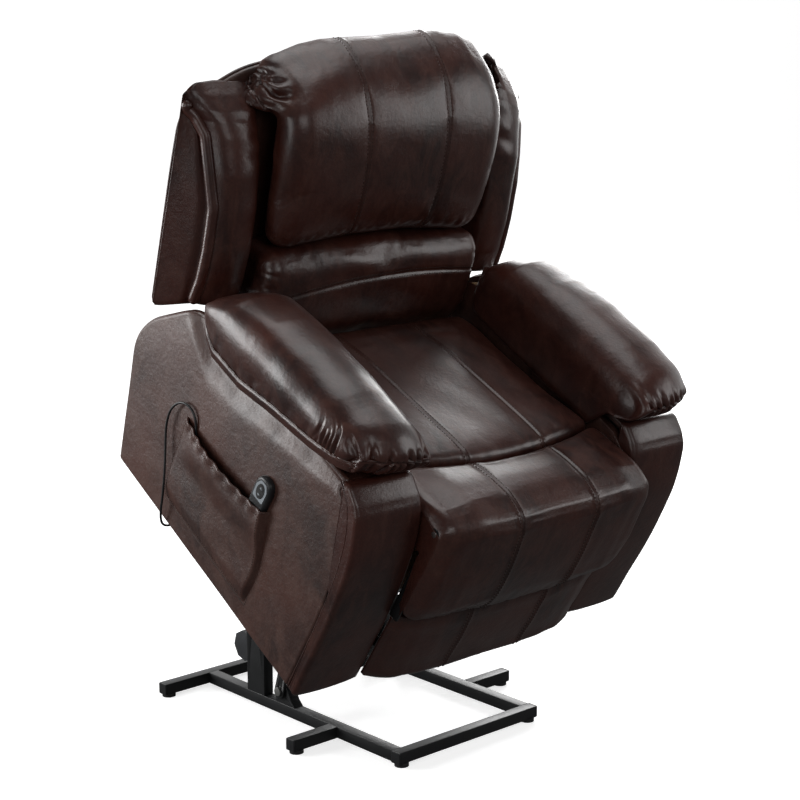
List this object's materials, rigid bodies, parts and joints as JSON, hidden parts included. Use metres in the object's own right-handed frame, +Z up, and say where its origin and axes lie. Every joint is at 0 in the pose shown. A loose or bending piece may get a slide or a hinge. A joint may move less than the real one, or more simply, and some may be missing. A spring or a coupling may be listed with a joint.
{
  "type": "power lift recliner chair",
  "caption": "Upholstered armchair with winged back, soft arms, recline with leg rest, and a motor that lifts and tilts the seat forward on a steel floor frame.",
  "frame": {"origin": "on the floor under the middle of the chair's box, with the seat raised and tilted", "axes": "+Z up, the sitter faces -Y, +X is the sitter's left"},
  "size_m": [0.956, 0.9126, 1.4533],
  "materials": {
    "steel": "black powder coat",
    "bolts": "zinc plated",
    "plastic": "moulded, fine grain",
    "foot_rubber": "matt",
    "tube_metal": "anodised",
    "rod_chrome": "ground and plated",
    "timber": "raw plywood",
    "spring_wire": "oiled wire",
    "leather": "glossy bonded leather, dark espresso, soft mottling",
    "handset_trim": "light grey",
    "button": "soft-touch"
  },
  "bodies": {
    "base_frame": {"front_bar": "steel", "rear_bar": "steel", "left_side_rail": "steel", "right_side_rail": "steel", "outriggers": "steel", "tube_end_caps": "plastic", "floor_feet": "foot_rubber", "left_post": "steel", "right_post": "steel", "front_brackets": "steel", "base_pivot_bolts": "bolts", "actuator_clevis": "steel"},
    "lift_links": {"left_front_link": "steel", "right_front_link": "steel", "link_cross_tube": "steel"},
    "rear_links": {"rear_links": "steel"},
    "actuator": {"actuator_gearbox": "plastic", "actuator_motor": "plastic", "actuator_tube": "tube_metal"},
    "ram": {"actuator_rod": "rod_chrome", "rod_end_eye": "tube_metal"},
    "seat_frame": {"left_carriage_rail": "steel", "right_carriage_rail": "steel", "carriage_plates": "steel", "carriage_cross_tubes": "steel", "rod_lug": "steel", "frame_pins": "bolts", "seat_rails": "timber", "seat_springs": "spring_wire", "left_arm_front": "leather", "right_arm_front": "leather", "left_side_panel": "leather", "right_side_panel": "leather", "left_inner_panel": "timber", "right_inner_panel": "timber", "left_arm_board": "timber", "right_arm_board": "timber", "left_arm_pad": "leather", "right_arm_pad": "leather", "seat_cushion": "leather", "seat_front_roll": "leather", "side_pocket": "leather", "handset_shell": "plastic", "handset_face": "handset_trim", "control_box": "plastic", "handset_cord": "plastic"},
    "up_button": {"up_button": "button"},
    "down_button": {"down_button": "button"},
    "backrest": {"back_board": "timber", "rear_back_cover": "leather", "left_wing": "leather", "right_wing": "leather", "upper_back_cushion": "leather", "lumbar_cushion": "leather", "back_hinge_plates": "steel"},
    "footrest": {"footrest_board": "timber", "leg_rest_pad": "leather", "foot_panel": "leather", "footrest_arms": "steel"}
  },
  "joints": [
    {"name": "lift", "type": "hinge", "parent": "base_frame", "child": "lift_links", "pos_m": [0, 0.1683, 0.06591], "axis": [1, 0, 0], "range_deg": [0, 29.13]},
    {"name": "seat_tilt", "type": "hinge", "parent": "lift_links", "child": "seat_frame", "pos_m": [0, -0.17693, 0.25785], "axis": [1, 0, 0], "range_deg": [-62.04, 0]},
    {"name": "rear_link_swing", "type": "hinge", "parent": "base_frame", "child": "rear_links", "pos_m": [0, 0.2573, 0.2284], "axis": [1, 0, 0], "range_deg": [0, 42.04]},
    {"name": "actuator_pivot", "type": "hinge", "parent": "base_frame", "child": "actuator", "pos_m": [0, 0.4253, 0.075], "axis": [1, 0, 0], "range_deg": [0, 20.74]},
    {"name": "actuator_stroke", "type": "slide", "parent": "actuator", "child": "ram", "axis": [0, -0.8746, 0.4849], "range_m": [-0.09069, 0]},
    {"name": "back_recline", "type": "hinge", "parent": "seat_frame", "child": "backrest", "pos_m": [0, 0.23745, 0.79926], "axis": [1, 0, 0], "range_deg": [-35, 0]},
    {"name": "footrest_lift", "type": "hinge", "parent": "seat_frame", "child": "footrest", "pos_m": [0, -0.41497, 0.55585], "axis": [1, 0, 0], "range_deg": [-80.01, 0]},
    {"name": "up_press", "type": "slide", "parent": "seat_frame", "child": "up_button", "axis": [1, 0, 0], "range_m": [0, 0.0012], "stiffness_N_per_m": 400},
    {"name": "down_press", "type": "slide", "parent": "seat_frame", "child": "down_button", "axis": [1, 0, 0], "range_m": [0, 0.0012], "stiffness_N_per_m": 400}
  ],
  "couplings": [
    {"joint": "seat_tilt", "follows": "lift", "ratio": -2.1293},
    {"joint": "rear_link_swing", "follows": "lift", "ratio": 1.4427},
    {"joint": "actuator_pivot", "follows": "lift", "ratio": 0.71164},
    {"joint": "actuator_stroke", "follows": "lift", "m_per_rad": -0.17797},
    {"joint": "footrest_lift", "follows": "back_recline", "ratio": 2.2857}
  ]
}
